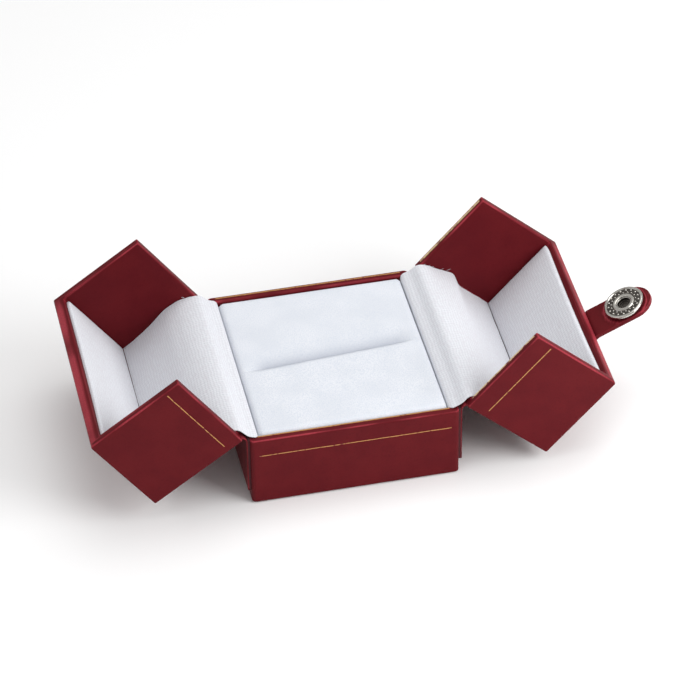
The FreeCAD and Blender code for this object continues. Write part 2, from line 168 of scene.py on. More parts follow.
def carve(piece, low, high):
    tool = block("carving_tool", low, high)
    finished_with(piece, "BOOLEAN", operation="DIFFERENCE", object=tool, solver="EXACT")
    bpy.data.objects.remove(tool)


def sliced(piece, cuts):
    """Cuts across a piece's faces at the given places along each axis, so that they can be shaped."""
    choose(piece, "VERT")
    for axis, places in enumerate(cuts):
        normal = Vector([float(i == axis) for i in range(3)])
        for place in places:
            bpy.ops.mesh.select_all(action="SELECT")
            bpy.ops.mesh.bisect(plane_co=normal * place, plane_no=normal)
    close()


def even_cuts(low, high, spacing, kept_clear=0.0):
    """Places between two ends, about a given distance apart."""
    low, high = low + kept_clear, high - kept_clear
    count = max(1, round((high - low) / spacing))
    return [low + (high - low) * i / count for i in range(count + 1)]


def finer_at_ends(low, high, fine, spacing, kept_clear):
    """Even cuts, with finer ones at the given distances from both ends."""
    ends = [low + step for step in fine] + [high - step for step in fine]
    return ends + even_cuts(low, high, spacing, kept_clear)


def smooth(piece, degrees=40):
    alone(piece)
    bpy.ops.object.shade_smooth_by_angle(angle=math.radians(degrees))
    return piece


def faced_outwards(piece):
    choose(piece, "FACE")
    bpy.ops.mesh.remove_doubles(threshold=0.002 * MM)
    bpy.ops.mesh.normals_make_consistent(inside=False)
    close()


def thickened(piece, thickness):
    """Gives a flat piece its thickness, half of it to each side."""
    finished_with(piece, "SOLIDIFY", thickness=thickness, offset=0)
    faced_outwards(piece)


def keep_marks(piece, name, values):
    """Keeps a value for each vertex, which a finish reads."""
    marks = piece.data.attributes.new(name, "FLOAT", "POINT")
    marks.data.foreach_set("value", values)


def clamped(value):
    return max(0.0, min(1.0, value))


def eased(value):
    """A clamped value, eased in and out."""
    value = clamped(value)
    return value * value * (3 - 2 * value)


def ripple(point, size, seed=0.0):
    """Smooth noise between -1 and 1, with bumps about that size."""
    return noise.noise(Vector(point) / size + Vector((seed, seed * 0.7, -seed)))


def mark_worn_and_lit_edges(piece, full=math.radians(24), handled_and_lit=None):
    """Keeps how sharply the surface turns at each vertex, because a finish rubs off on edges. The
    mark is also a painted highlight: it is scaled by how far the vertex faces up as the box stands
    open, so upper edges are paler and lower ones stay dark. Vertices in the given table take its
    value instead, partly for rubbing and partly as a painted highlight."""
    shape = bmesh.new()
    shape.from_mesh(piece.data)
    shape.normal_update()
    wear_and_light = []
    for vertex in shape.verts:
        normals = [face.normal for face in vertex.link_faces]
        turn = max((a.angle(b, 0) for a in normals for b in normals), default=0)
        # painted highlight: edges that face up are paler, those that face down are not
        faces_up_highlight = clamped(0.55 + vertex.normal.z)
        patchy = 0.75 + 0.6 * ripple(vertex.co, 7 * MM, 8.0)
        rubbed_and_lit = (handled_and_lit or {}).get(vertex.index, min(1.0, turn / full))
        wear_and_light.append(min(1.0, rubbed_and_lit * faces_up_highlight * min(1.0, patchy)))
    shape.free()
    keep_marks(piece, "wear_and_highlight", wear_and_light)


def lathe(name, profile, place, steps=64):
    """Turns a closed (radius, height) profile into a ring or a knob, by extruding and scaling a
    circle from one corner of the profile to the next."""
    deselect()
    (radius, height), *rest = profile
    bpy.ops.mesh.primitive_circle_add(vertices=steps, radius=radius, location=(0, 0, height))
    piece = bpy.context.object
    piece.name = name
    settle(piece)
    choose(piece, "EDGE")
    for next_radius, next_height in rest:
        bpy.ops.mesh.extrude_region_move(
            TRANSFORM_OT_translate={"value": (0, 0, next_height - height)})
        scale = next_radius / radius
        bpy.ops.transform.resize(value=(scale, scale, 1), center_override=(0, 0, next_height))
        radius, height = next_radius, next_height
    close()
    shape = bmesh.new()
    shape.from_mesh(piece.data)
    bmesh.ops.remove_doubles(shape, verts=shape.verts, dist=0.002 * MM)
    shape.to_mesh(piece.data)
    shape.free()
    if profile[0] != profile[-1]:
        choose(piece, "EDGE", lambda edge: edge.is_boundary)
        bpy.ops.mesh.fill()
        close()
    faced_outwards(piece)
    return smooth(settle(piece, place), 35)


def joined(name, pieces):
    alone(pieces[0])
    for piece in pieces[1:]:
        piece.select_set(True)
    bpy.ops.object.join()
    pieces[0].name = name
    return settle(pieces[0])


# ---------------------------------------------------------------- finishes

def linear(code):
    """An sRGB hex colour as linear red, green, blue and alpha."""
    channels = [int(code[i:i + 2], 16) / 255 for i in (1, 3, 5)]
    return [c / 12.92 if c <= 0.04045 else ((c + 0.055) / 1.055) ** 2.4 for c in channels] + [1]


def finish(name, **settings):
    """A new material, with values set on its shader's own sockets."""
    material = bpy.data.materials.new(name)
    material.use_nodes = True
    shader = material.node_tree.nodes["Principled BSDF"]
    for key, value in settings.items():
        shader.inputs[key.replace("_", " ")].default_value = value
    return material, material.node_tree, shader


def node(tree, kind, inputs, **settings):
    """Adds a node with its settings. An input takes a value or another node's output."""
    made = tree.nodes.new("ShaderNode" + kind)
    for key, value in settings.items():
        setattr(made, key, value)
    for key, value in inputs.items():
        if isinstance(value, bpy.types.NodeSocket):
            tree.links.new(value, made.inputs[key])
        else:
            made.inputs[key].default_value = value
    return made


def fade(tree, value, low, high):
    """A 0 to 1 mask that rises as a value goes from low to high."""
    return node(tree, "MapRange", {"Value": value, "From Min": low, "From Max": high},
                interpolation_type="SMOOTHSTEP").outputs["Result"]


def mix_colours(tree, mask, first, second):
    """One colour over another, by a mask."""
    return node(tree, "Mix", {0: mask, 6: first, 7: second}, data_type="RGBA").outputs[2]


def maths(tree, operation, first, second):
    return node(tree, "Math", {0: first, 1: second}, operation=operation).outputs[0]


def mapped(tree, value, to_low, to_high, low=0.0, high=1.0):
    """A value's range, stretched to another one."""
    return node(tree, "MapRange", {
        "Value": value, "From Min": low, "From Max": high, "To Min": to_low,
        "To Max": to_high}).outputs["Result"]


def object_place(tree):
    return node(tree, "TexCoord", {}).outputs["Object"]


def speckle(tree, place, size, detail, roughness=0.5):
    """Noise with bumps of about that size."""
    return node(tree, "TexNoise", {"Vector": place, "Scale": 1 / size, "Detail": detail,
                                             "Roughness": roughness}).outputs["Fac"]


def relief(tree, height, strength, depth):
    """A pattern of heights as bumps."""
    return node(tree, "Bump", {"Height": height, "Strength": strength,
                                         "Distance": depth}).outputs["Normal"]


def kept_mark(tree, name):
    return node(tree, "Attribute", {}, attribute_name=name).outputs["Fac"]


def wire(tree, shader, **outputs):
    """Links nodes to the shader's own sockets."""
    for key, output in outputs.items():
        tree.links.new(output, shader.inputs[key.replace("_", " ")])


def embossed_leatherette():
    """Coated paper, embossed with a fine pebble grain and glued over board. The coating is satin, a
    little mottled, and paler and pinker along every folded edge, partly from rubbing and partly as a
    painted highlight, which is strongest on the edges that face up."""
    grain = 0.40 * MM           # pebble width, drawn about twice as coarse as the real one
    mottle = 7 * MM
    material, tree, shader = finish(
        "embossed_leatherette", IOR=1.5, Specular_IOR_Level=0.08, Sheen_Weight=0.06,
        Sheen_Roughness=0.3, Sheen_Tint=linear("#F0A8B0"))
    place = object_place(tree)
    pebble = node(tree, "TexVoronoi", {"Vector": place, "Scale": 1 / grain},
                  feature="SMOOTH_F1").outputs["Distance"]
    fine = speckle(tree, place, grain / 1.6, 3.0)
    cloud = speckle(tree, place, mottle, 4.0)
    red = mix_colours(tree, fade(tree, cloud, 0.35, 0.65), linear("#5C1219"), linear("#62151B"))
    dip = maths(tree, "MULTIPLY", fade(tree, pebble, 0.35, 0.85), 0.45)
    red = mix_colours(tree, dip, red, linear("#520F15"))
    uneven = mapped(tree, fine, 0.45, 0.80, 0.35, 0.65)
    rubbed_and_lit = maths(tree, "MULTIPLY", fade(tree, kept_mark(tree, "wear_and_highlight"), 0.25, 0.95), uneven)
    # the pale pink here is partly real rubbing and partly a painted highlight on upward-facing edges
    red = mix_colours(tree, rubbed_and_lit, red, linear("#B8434F"))
    height = maths(tree, "ADD", pebble, maths(tree, "MULTIPLY", fine, 0.6))
    wire(tree, shader, Base_Color=red, Roughness=mapped(tree, fine, 0.36, 0.56),
         Normal=relief(tree, height, 0.16, 0.04 * MM))
    return material


def ribbed_cloth():
    """Plain-woven cotton and rayon lining with a slight rib. The thicker weft stands up in rows
    that catch the light, with the finer warp between them, and the cloth has a dry, soft sheen."""
    rib, warp = 0.74, 0.66      # spacing in mm, drawn coarser than the real 0.4 and 0.35
    wave_period = 0.314         # of a wave texture at scale 1
    slub_size = 10 / 9          # in mm, of the thicker stretches of yarn
    material, tree, shader = finish("ribbed_lining_cloth", Roughness=0.82, IOR=1.46,
                                    Sheen_Weight=0.15, Sheen_Roughness=0.45)
    weave = node(tree, "UVMap", {}, uv_map="weave").outputs["UV"]
    drift = node(tree, "TexNoise", {"Vector": weave, "Scale": 0.35, "Detail": 2.0})
    wander = node(tree, "VectorMath", {0: drift.outputs["Color"], 1: (1.1, 1.1, 0.0)},
                  operation="MULTIPLY").outputs["Vector"]
    weave = node(tree, "VectorMath", {0: weave, 1: wander},
                 operation="ADD").outputs["Vector"]
    rows, ends = (node(tree, "TexWave", {"Vector": weave, "Scale": wave_period / gap},
                       bands_direction=way).outputs["Fac"] for gap, way in ((rib, "X"), (warp, "Y")))
    threads = maths(tree, "MULTIPLY", maths(tree, "ADD", rows, ends), 0.5)
    slub = speckle(tree, weave, slub_size, 3.0)
    # painted shade: the cloth is darker in the grooves between the raised threads, besides their bump
    white = mix_colours(tree, fade(tree, threads, 0.05, 0.75), linear("#CDCFD5"), linear("#DFE1E6"))
    white = mix_colours(tree, fade(tree, slub, 0.35, 0.85), white, linear("#D3D2D8"))
    wire(tree, shader, Base_Color=white, Normal=relief(tree, threads, 0.26, 0.10 * MM))
    return material


def white_velvet():
    """Short rayon pile on a woven back. The nap is dense and upright, so it scatters light evenly,
    with a pale sheen at the rounded edges and faint patches where it leans. Beside the slit it is
    painted greyer, as shade."""
    nap = 0.22 * MM             # tuft spacing, drawn about twice as coarse as the real pile
    lean = 9 * MM
    material, tree, shader = finish(
        "white_velvet", Roughness=0.95, IOR=1.45, Sheen_Weight=0.2, Sheen_Roughness=0.35,
        Sheen_Tint=linear("#F6F8FF"))
    place = object_place(tree)
    pile = speckle(tree, place, nap, 2.0)
    patch = speckle(tree, place, lean, 2.0)
    white = mix_colours(tree, fade(tree, patch, 0.3, 0.7), linear("#D9DCE2"), linear("#E2E4E9"))
    white = mix_colours(tree, fade(tree, pile, 0.62, 0.30), white, linear("#CBD1DB"))
    painted_slit_shade = maths(tree, "MULTIPLY", kept_mark(tree, "painted_slit_shade"), 0.75)
    # painted shade: the velvet is greyer beside the slit
    white = mix_colours(tree, painted_slit_shade, white, linear("#ABB0BC"))
    wire(tree, shader, Base_Color=white, Normal=relief(tree, pile, 0.35, 0.08 * MM))
    return material


def stamped_gold_foil(name="stamped_gold_foil", light="#E0AE72", dark="#B67F45", lost=0.40,
                      bright=0.85):
    """Imitation gold foil, pressed on hot with a brass wheel. It is bright and thin, takes the
    grain of the leatherette, and has breaks where the red shows through."""
    gap = 0.9 * MM
    material, tree, shader = finish(name)
    place = object_place(tree)
    intact = fade(tree, speckle(tree, place, gap, 4.0, 0.65), lost - 0.04, lost + 0.06)
    tone = speckle(tree, place, 0.4 * MM, 2.0)
    gold = mix_colours(tree, tone, linear(dark), linear(light))
    wire(tree, shader, Base_Color=mix_colours(tree, intact, linear("#6E161E"), gold),
         Metallic=maths(tree, "MULTIPLY", intact, bright),
         Roughness=mapped(tree, intact, 0.5, 0.34), Normal=relief(tree, tone, 0.3, 0.03 * MM))
    return material


def stamped_nickel(name="nickel_plated_brass", light="#DAD7D0", dark="#A9A59D", roughness=0.2):
    """Pressed brass with bright nickel plate: faint press marks and a slightly warm grey."""
    material, tree, shader = finish(name, Metallic=1.0)
    mark = speckle(tree, object_place(tree), 0.5 * MM, 4.0)
    wire(tree, shader, Base_Color=mix_colours(tree, mark, linear(dark), linear(light)),
         Roughness=mapped(tree, mark, roughness * 0.7, roughness * 1.5),
         Normal=relief(tree, mark, 0.25, 0.03 * MM))
    return material


def pressed_board(name="pressed_grey_board", light="#A6A29A", dark="#7F7B74"):
    """Waste-paper board, rolled and cut: flecked grey fibres and a matt, slightly rough face."""
    material, tree, shader = finish(name, Roughness=0.9)
    fibre = speckle(tree, object_place(tree), 0.35 * MM, 5.0)
    grey = mix_colours(tree, fade(tree, fibre, 0.3, 0.7), linear(dark), linear(light))
    wire(tree, shader, Base_Color=grey, Normal=relief(tree, fibre, 0.3, 0.08 * MM))
    return material


LEATHERETTE = embossed_leatherette()
CLOTH = ribbed_cloth()
VELVET = white_velvet()
FOIL = stamped_gold_foil()
# Foil on the door's edges: more breaks from wear, and paler and less metallic, which paints in the bright
# reflection the foil shows there
WORN_FOIL_PAINTED_PALE = stamped_gold_foil("rubbed_gold_foil", "#F0DCB2", "#CFA468", 0.43, 0.4)
NICKEL = stamped_nickel()
# A darker nickel for the socket's channel floor, well and rivet, down in its hollows.
NICKEL_WELL = stamped_nickel("dark_snap_hollow_nickel", "#6E6963", "#2E2B29", 0.4)
SPRING = stamped_nickel("drawn_spring_wire", "#C9C7C2", "#8F8C86", 0.18)
BOARD = pressed_board()
BASE_PAPER = pressed_board("burgundy_base_paper", "#4E1A20", "#3A1217")


def dressed(piece, material):
    """Gives a piece its finish, all over."""
    piece.data.materials.clear()
    piece.data.materials.append(material)
    return piece


# ---------------------------------------------------------------- leatherette over board

def round_edges(piece, width, weight_of):
    """Rounds the convex edges, each by its own share of a width."""
    mesh = piece.data
    shape = bmesh.new()
    shape.from_mesh(mesh)
    shape.normal_update()
    weight = shape.edges.layers.float.new("bevel_weight_edge")
    for edge in shape.edges:
        if len(edge.link_faces) == 2 and edge.calc_face_angle_signed() > math.radians(50):
            edge[weight] = weight_of(*[vertex.co for vertex in edge.verts])
    shape.to_mesh(mesh)
    shape.free()
    finished_with(piece, "BEVEL", width=width, segments=4, limit_method="WEIGHT",
                  use_clamp_overlap=True)


def pressed_in(piece, depth, size, seed):
    """Lets the flat faces sink a little, unevenly, as glued paper does."""
    for vertex in piece.data.vertices:
        sink = depth * (0.5 + 0.5 * ripple(vertex.co, size, seed))
        vertex.co -= vertex.normal * sink
    piece.data.update()


def make_tray_wrap():
    low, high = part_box("base_cover")
    board_low, board_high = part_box("base_right_board")
    inner_x = board_low.x - WRAP
    inner_y = board_high.y - WRAP
    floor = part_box("insert_card")[0].z
    corner, rim = 1.0 * MM, 0.35 * MM
    wrap = block("tray_wrap", low, high)
    choose(wrap, "EDGE", lambda edge: abs(edge.verts[0].co.z - edge.verts[1].co.z) > 1 * MM)
    bpy.ops.mesh.bevel(offset=corner, segments=6, affect="EDGES")
    close()
    carve(wrap, (-inner_x, -inner_y, floor), (inner_x, inner_y, high.z + 1 * MM))
    round_edges(wrap, rim, lambda start, end: 1.0 if max(start.z, end.z) > floor else 0.6)
    clear = 0.75 * MM
    cuts = []
    for lowest, highest, inner in ((low.x, high.x, inner_x), (low.y, high.y, inner_y)):
        cuts.append(even_cuts(lowest, highest, 3 * MM, 1.3 * MM)
                    + [-inner - clear, inner + clear])
    cuts.append(even_cuts(low.z, high.z, 3 * MM, clear))
    sliced(wrap, cuts)
    mark_worn_and_lit_edges(wrap)
    pressed_in(wrap, 0.04 * MM, 9 * MM, 1.0)
    dressed(smooth(wrap), LEATHERETTE)
    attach(wrap, "tray")
    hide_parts("base_cover")
    return wrap


def door_hollow(side):
    """The hollow inside a closed door, as its lowest and highest corner for the right side."""
    seam, _ = mirrored(side, *closed_box(f"{side}_cover", side))
    panel, _ = mirrored(side, *closed_box(f"{side}_side_board", side))
    inner_y = -closed_box(f"{side}_front_board", side)[1].y - WRAP
    ceiling = closed_box(f"{side}_top_board", side)[0].z - WRAP
    return Vector((seam.x, -inner_y, seam.z)), Vector((panel.x - WRAP, inner_y, ceiling))


def make_door_wrap(side):
    low, high = closed_box(f"{side}_cover", side)
    hollow_low, hollow_high = door_hollow(side)
    beyond = Vector((2, 0, 2)) * MM
    wrap = block(f"{side}_door_wrap", low, high)
    carve(wrap, *mirrored(side, hollow_low - beyond, hollow_high))
    fold = 0.88 * MM            # the top board's outer folded edge is the roundest
    tucked_share, other_share = 0.25, 0.45

    def share(start, end):
        along_seam = all(abs(abs(point.x) - hollow_low.x) < 0.1 * MM for point in (start, end))
        if along_seam and abs(start.y - end.y) > 9 * MM:
            return 1.0 if start.z > high.z - 0.1 * MM else tucked_share
        return other_share
    round_edges(wrap, fold, share)
    clear = 0.8 * MM
    sign = SIDES[side]
    face = hollow_high.x
    cuts = (
        even_cuts(low.x, high.x, 3 * MM, clear) + [sign * (face + clear), sign * (face - clear)],
        even_cuts(low.y, high.y, 3 * MM, clear) + [-hollow_high.y - clear, hollow_high.y + clear],
        even_cuts(low.z, high.z, 3 * MM, clear) + [hollow_high.z + 1.3 * MM],
    )
    sliced(wrap, cuts)
    pressed_in(wrap, 0.04 * MM, 8 * MM, 3.0 + sign)
    smooth(wrap)
    # The free edges are paler still, partly from handling and partly as a painted highlight. The
    # top board's is paler all over, except where its fold tucks in, and the others are paler along
    # their folds than between them.
    handled_and_lit = {}
    for vertex in wrap.data.vertices:
        x, y, z = (abs(value) for value in vertex.co)
        if abs(x - hollow_low.x) < 0.2 * MM:
            if z > hollow_high.z - 0.1 * MM and y < hollow_high.y + clear:
                handled_and_lit[vertex.index] = 0.25 if z < hollow_high.z + 0.6 * MM else 1.0
            elif abs(y - hollow_high.y - clear) < 0.1 * MM:
                handled_and_lit[vertex.index] = 0.6
    settle(wrap, opening(side))
    mark_worn_and_lit_edges(wrap, handled_and_lit=handled_and_lit)
    dressed(wrap, LEATHERETTE)
    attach(wrap, f"{side}_door")
    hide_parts(f"{side}_cover")
    return wrap


# ---------------------------------------------------------------- gold foil

# How much of the brass wheel's width took, by where the foil is.
FOIL_SHARES = {"rim": 0.45, "edge": 0.8, "line": 0.55}


def make_foil(node_name, wrap, side=None):
    """One stamped line: a strip with uneven edges, pressed onto the leatherette it lies on."""
    low, high = closed_box(node_name, side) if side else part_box(node_name)
    size = high - low
    _, wide, long = sorted(range(3), key=lambda i: size[i])
    middle = (low + high) / 2
    kind = node_name.split("_")[1]
    share = FOIL_SHARES[kind]
    strip = cloth_blank(node_name + "_stamped", 90, 2)
    for vertex in strip.data.vertices:
        along, across = vertex.co.x, vertex.co.y
        place = middle.copy()
        place[long] += along * size[long] / 2
        waver = 1 + 0.35 * ripple((along * 30, across, 0), 1.0, len(node_name))
        place[wide] += across * size[wide] / 2 * waver * share
        place[wide] += 0.05 * MM * ripple((along * 6, 0, 0), 1.0, 7.0)
        vertex.co = place
    if side:
        settle(strip, opening(side))
    finished_with(strip, "SHRINKWRAP", target=wrap, wrap_method="NEAREST_SURFACEPOINT",
                  wrap_mode="OUTSIDE_SURFACE", offset=0.02 * MM)
    thickened(strip, 0.015 * MM)
    dressed(smooth(strip), WORN_FOIL_PAINTED_PALE if kind == "edge" else FOIL)
    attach(strip, f"{side}_door" if side else "tray")
    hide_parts(node_name)


# ---------------------------------------------------------------- ring pad

def make_pad_half(label):
    """One half of the velvet pad: soft rounded edges, and a lip that turns down into the slit."""
    low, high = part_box(f"pad_velvet_{label}")
    (_, front_high), (back_low, back_high) = (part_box(f"pad_velvet_{k}") for k in ("front", "back"))
    sign = -1 if label == "front" else 1
    half_x = high.x
    end_y = low.y if sign < 0 else high.y
    skew = math.tan(math.radians(4.3))
    slit_middle = (front_high.y + back_low.y) / 2
    pad = block(f"ring_pad_{label}", low, high)
    edge = 1.4 * MM
    fine = [0.08 * MM, 0.25 * MM, 0.5 * MM, 0.8 * MM, 1.1 * MM, 1.5 * MM]
    depth_y = high.y - low.y
    cuts = [finer_at_ends(low[i], high[i], fine, 1.3 * MM, 2.2 * MM) for i in (0, 1)]
    cuts.append([high.z - f for f in fine] + even_cuts(low.z, high.z, 3 * MM, 2.2 * MM))
    sliced(pad, cuts)
    level = (front_high.z + back_high.z) / 2

    def round_drop(distance, radius):
        inside = max(0.0, radius - max(distance, 0.0))
        return radius - math.sqrt(radius * radius - inside * inside)
    painted_slit_shade = []
    for vertex in pad.data.vertices:
        x, y, z = vertex.co
        share = (y - low.y) / depth_y if sign < 0 else (high.y - y) / depth_y
        # the slit closes over its last few millimetres, and is widest in the middle
        open_slit = eased(1 - (abs(x) - (half_x - 7.5 * MM)) / (6 * MM))
        lip = slit_middle + x * skew + sign * (0.02 + 0.26 * open_slit) * MM
        y = end_y + (lip - end_y) * share
        from_slit = abs(y - lip)
        from_end = abs(y - end_y)
        from_side = half_x - abs(x)
        outer = round_drop(min(from_end, from_side), edge)
        if from_end < edge and from_side < edge:
            outer = round_drop(edge - math.hypot(edge - from_end, edge - from_side), edge)
        slit_radius = (0.7 if sign < 0 else 1.3) * MM
        drop = max(outer, round_drop(from_slit, slit_radius) * open_slit)
        # the back half sags towards the slit, and the front half stands a little proud of it
        sag = math.exp(-((from_slit / (3.6 * MM)) ** 2)) * open_slit
        height = high.z - (0.9 * MM * sag if sign > 0 else -0.12 * MM * sag)
        height += (level - high.z) * (1 - open_slit) * math.exp(-((from_slit / (6 * MM)) ** 2))
        height += 0.05 * MM * ripple((x, y, 0), 9 * MM, 4.0 + sign)
        top = height - drop
        z = low.z + (z - low.z) * (top - low.z) / (high.z - low.z)
        vertex.co = (x, y, z)
        # painted shade beside the slit, wider on the back half, which greys the velvet there
        reach = 3.0 * MM if sign > 0 else 0.7 * MM
        painted_slit_shade.append(math.exp(-((from_slit / reach) ** 2)) * open_slit)
    keep_marks(pad, "painted_slit_shade", painted_slit_shade)
    faced_outwards(pad)
    dressed(smooth(pad, 60), VELVET)
    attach(pad, "tray")
    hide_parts(f"pad_velvet_{label}", f"pad_foam_{label}")


# ---------------------------------------------------------------- cloth lining

def through(points, count):
    """Evenly spaced places on a smooth line through the points."""
    dense = []
    for i in range(len(points) - 1):
        before = points[max(i - 1, 0)]
        start, end = points[i], points[i + 1]
        after = points[min(i + 2, len(points) - 1)]
        for step in range(20):
            t = step / 20
            dense.append(0.5 * ((2 * start) + (end - before) * t
                                + (2 * before - 5 * start + 4 * end - after) * t * t
                                + (3 * start - before - 3 * end + after) * t ** 3))
    dense.append(points[-1])
    lengths = [0.0]
    for a, b in zip(dense, dense[1:]):
        lengths.append(lengths[-1] + (b - a).length)
    places, segment = [], 0
    for i in range(count):
        wanted = lengths[-1] * i / (count - 1)
        while segment < len(dense) - 2 and lengths[segment + 1] < wanted:
            segment += 1
        part = (wanted - lengths[segment]) / max(lengths[segment + 1] - lengths[segment], 1e-12)
        places.append(dense[segment].lerp(dense[segment + 1], min(1.0, part)))
    return places, lengths[-1]


# How far the cloth stands off the door's side panel, in mm, at distances along the panel in mm.
# At the right back it is bunched up and drops to the panel in a sharp fold. Elsewhere it swells.
PANEL_STEPS = (0.0, 1.6, 4.2, 6.6, 8.6, 10.2, 11.6, 13.0, 16.0, 19.0)
CLOTH_LIFTS = {
    "right": {
        "front": (0.20, 0.95, 1.60, 1.75, 1.65, 1.45, 1.25, 1.05, 0.60, 0.30),
        "middle": (0.20, 1.00, 1.80, 2.00, 1.90, 1.60, 1.30, 1.00, 0.55, 0.30),
        "back": (0.10, 0.55, 1.10, 1.75, 2.15, 1.55, 0.70, 0.30, 0.20, 0.20),
    },
    "left": {
        "front": (0.20, 1.00, 1.60, 1.75, 1.65, 1.45, 1.25, 1.05, 0.65, 0.35),
        "middle": (0.25, 1.20, 2.00, 2.20, 2.10, 1.85, 1.55, 1.30, 0.80, 0.40),
        "back": (0.20, 1.10, 2.10, 2.35, 2.20, 1.80, 1.40, 1.10, 0.60, 0.30),
    },
}


def lining_points(side, lifts):
    """The cloth's line in a slice across the hinge, as if for the right side: out of the gap
    beside the pad, over the rim and the hinge, over the door's edge and down its side panel."""
    pad_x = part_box("pad_velvet_front")[1].x
    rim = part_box("base_cover")[1].z
    wall_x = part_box("base_right_board")[0].x - WRAP
    hollow_low, hollow_high = door_hollow(side)
    edge = opened(side, hollow_high.x, hollow_low.z)
    crease = opened(side, hollow_high.x, closed_box(f"top_lining_{side}", side)[0].z)
    along = (crease - edge).normalized()
    off = Vector((-along.z, 0, along.x))
    gap_x = (pad_x + wall_x) / 2
    points = [
        Vector((gap_x, 0, rim - 6.5 * MM)),
        Vector((gap_x, 0, rim - 2.0 * MM)),
        Vector((gap_x + 0.05 * MM, 0, rim - 0.4 * MM)),
        Vector((wall_x + 0.5 * MM, 0, rim + 0.25 * MM)),
        Vector((wall_x + 2.2 * MM, 0, rim + 0.95 * MM)),
        edge + Vector((-0.9, 0, -0.1)) * MM + off * lifts[0] * MM,
    ]
    for step, lift in list(zip(PANEL_STEPS, lifts))[1:]:
        points.append(edge + along * step * MM + off * lift * MM)
    points.append(crease + off * 0.14 * MM)
    return points


def make_lining(side):
    sign = SIDES[side]
    rows, across = 110, 72
    lines = {}
    for place, lifts in CLOTH_LIFTS[side].items():
        lines[place], length = through(lining_points(side, lifts), rows)
    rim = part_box("base_cover")[1].z
    side_gap = 0.12 * MM
    tray_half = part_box("base_right_board")[1].y - WRAP - side_gap
    door_half = door_hollow(side)[1].y - side_gap
    hinge_x = JOINTS["right_hinge"]["pos_m"][0]
    cloth = cloth_blank(f"{side}_lining_cloth", rows - 1, across)
    layer = cloth.data.uv_layers[0]
    layer.name = "weave"
    for vertex in cloth.data.vertices:
        row = round((vertex.co.x + 1) / 2 * (rows - 1))
        t = vertex.co.y                                   # -1 at the front, 1 at the back
        front, middle, back = (lines[k][row] for k in ("front", "middle", "back"))
        if t < 0:
            point = middle.lerp(front, min(1.0, -t / 0.85) ** 2)
        else:
            point = middle.lerp(back, min(1.0, t / 0.9) ** 3)
        # the cloth is wider than the tray's opening where it passes over the rim and hinge
        over = clamped((point.z - rim + 0.3 * MM) / (0.6 * MM))
        beyond = eased((point.x - hinge_x + 0.2 * MM) / (3.4 * MM))
        spare = (0.95 if t < 0 else 0.35) * MM
        half = tray_half + spare * over * (1 - beyond)
        half = half + (door_half - half) * beyond
        # cut edges are never quite straight
        uneven = 0.16 * MM * ripple((row * 0.11, sign, t), 1.0, 9.0) * abs(t) ** 8
        y = t * half - math.copysign(abs(uneven), t)
        free = clamped((point.x - hinge_x) / (4 * MM))
        sway = 0.10 * MM * ripple((point.x, y, point.z), 7 * MM, 2.0 + sign)
        sway += 0.06 * MM * ripple((point.x, y * 0.4, point.z), 2.6 * MM, 5.0 + sign)
        point = point + Vector((0.6, 0, 0.8)) * sway * free
        vertex.co = (sign * point.x, y, point.z)
    for corner in layer.data:
        corner.uv = (corner.uv.x * length / MM, corner.uv.y * 2 * door_half / MM)
    cloth.data.update()
    thickened(cloth, 0.16 * MM)
    dressed(smooth(cloth, 60), CLOTH)
    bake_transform(cloth)
    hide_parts(f"lining_tuck_{side}", f"side_lining_{side}")


def make_top_lining(side):
    """The card under a door's top, covered in the same cloth: softly domed, with turned edges."""
    low, high = closed_box(f"top_lining_{side}", side)
    sign = SIDES[side]
    card = block(f"{side}_top_lining_card", low, high)
    fine = [0.06 * MM, 0.2 * MM, 0.45 * MM, 0.9 * MM]
    cuts = [finer_at_ends(low[i], high[i], fine, 1.2 * MM, 1.6 * MM) for i in (0, 1)]
    cuts.append([low.z + 0.2 * MM, low.z + 0.45 * MM])
    sliced(card, cuts)
    middle, half = (low + high) / 2, (high - low) / 2
    seam_x = low.x if sign > 0 else high.x
    for vertex in card.data.vertices:
        x, y, z = vertex.co
        across, along = (x - middle.x) / half.x, (y - middle.y) / half.y
        inset = min(half.x * (1 - abs(across)), half.y * (1 - abs(along)))
        round_in = max(0.0, 1 - inset / (0.5 * MM))
        lower = (high.z - z) / (high.z - low.z)
        swell = 0.42 * MM * (1 - across ** 4) * (1 - along ** 6)
        swell += 0.05 * MM * ripple((x, y, 0), 6 * MM, 6.0 + sign)
        z -= lower * (swell - 0.30 * MM * round_in ** 2)
        # the free edge bows back in its middle, and its corners are cut round
        near_seam = max(0.0, 1 - abs(x - seam_x) / (6 * MM))
        bow = (0.55 * math.cos(along * math.pi / 2) + 0.5 * max(0.0, abs(along) - 0.93) / 0.07)
        x += sign * near_seam * (bow * 0.6 + 0.55) * MM
        vertex.co = (x, y, z)
    card.data.update()
    layer = card.data.uv_layers[0]
    layer.name = "weave"
    for loop in card.data.loops:
        point = card.data.vertices[loop.vertex_index].co
        layer.data[loop.index].uv = ((point.x + point.z) / MM, point.y / MM)
    faced_outwards(card)
    smooth(card, 60)
    settle(card, opening(side))
    dressed(card, CLOTH)
    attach(card, f"{side}_door")
    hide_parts(f"top_lining_{side}")


